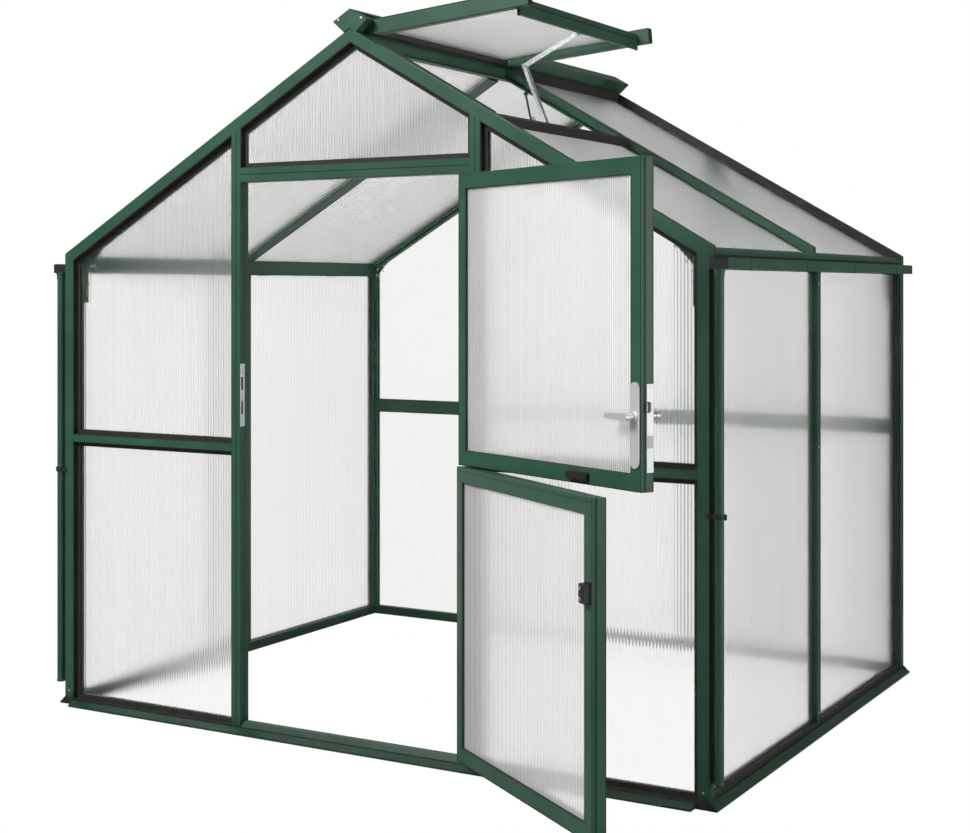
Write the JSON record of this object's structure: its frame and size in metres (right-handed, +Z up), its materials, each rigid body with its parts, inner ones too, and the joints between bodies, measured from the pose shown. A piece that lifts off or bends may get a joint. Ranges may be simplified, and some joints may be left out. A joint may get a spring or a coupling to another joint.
{
  "type": "greenhouse",
  "caption": "Gable-front garden greenhouse with a green aluminium frame, twin-wall sheets, a split stable door, a roof vent, gutters and downpipes.",
  "frame": {"origin": "centre of the doorway on the ground, in the plane of the front wall's outer faces", "axes": "+X right along the front wall seen from outside, +Y from the front wall into the building, +Z up"},
  "size_m": [2.611, 2.5919, 2.4322],
  "materials": {
    "green_frame": "satin moss-green powder coat",
    "black_rubber": "matt black glazing rubber",
    "black_plastic": "matt black plastic",
    "clear_sheet": "translucent twin-wall polycarbonate",
    "bright_steel": "satin zinc-plated steel"
  },
  "bodies": {
    "frame": {"front_corner_posts": "green_frame", "rear_corner_posts": "green_frame", "side_mid_posts": "green_frame", "door_jambs": "green_frame", "rear_studs": "green_frame", "door_header": "green_frame", "front_mid_rails": "green_frame", "rear_mid_rails": "green_frame", "front_base_rail": "green_frame", "rear_base_rail": "green_frame", "side_base_rails": "green_frame", "door_sill": "green_frame", "base_corner_blocks": "black_plastic", "front_rafters": "green_frame", "middle_rafters": "green_frame", "rear_rafters": "green_frame", "eaves_beams": "green_frame", "eaves_trims": "green_frame", "ridge_beam": "green_frame", "ridge_cap": "green_frame", "ridge_seals": "black_rubber", "roof_seals": "black_rubber", "corner_gussets": "green_frame", "front_panels": "clear_sheet", "rear_panels": "clear_sheet", "side_panels": "clear_sheet", "left_roof_panels": "clear_sheet", "right_roof_panels": "clear_sheet", "front_beads": "black_rubber", "rear_beads": "black_rubber", "side_beads": "black_rubber", "vent_curb": "black_rubber", "vent_frame": "green_frame", "vent_seal": "black_rubber", "vent_panel": "clear_sheet", "vent_stay": "bright_steel", "gutters": "green_frame", "gutter_caps": "black_plastic", "downpipes": "green_frame", "pipe_clips": "black_plastic", "hinge_brackets": "green_frame", "strike_plate": "bright_steel"},
    "upper_door": {"upper_door_frame": "green_frame", "upper_door_panel": "clear_sheet", "upper_door_lock": "bright_steel", "upper_door_knob": "black_plastic"},
    "lower_door": {"lower_door_frame": "green_frame", "lower_door_panel": "clear_sheet", "lower_door_catch": "black_plastic"},
    "lever": {"door_lever": "bright_steel"}
  },
  "joints": [
    {"name": "upper_door_hinge", "type": "hinge", "parent": "frame", "child": "upper_door", "pos_m": [0.445, -0.012, 1.41], "axis": [0, 0, 1], "range_deg": [-155, 13]},
    {"name": "lower_door_hinge", "type": "hinge", "parent": "frame", "child": "lower_door", "pos_m": [0.445, -0.012, 0.5], "axis": [0, 0, 1], "range_deg": [-145, 23]},
    {"name": "lever_turn", "type": "hinge", "parent": "upper_door", "child": "lever", "pos_m": [1.21292, -0.38829, 1.161], "axis": [-0.4226, -0.9063, 0], "range_deg": [0, 40], "stiffness_Nm_per_rad": 1.5, "springref_deg": -11.46}
  ]
}
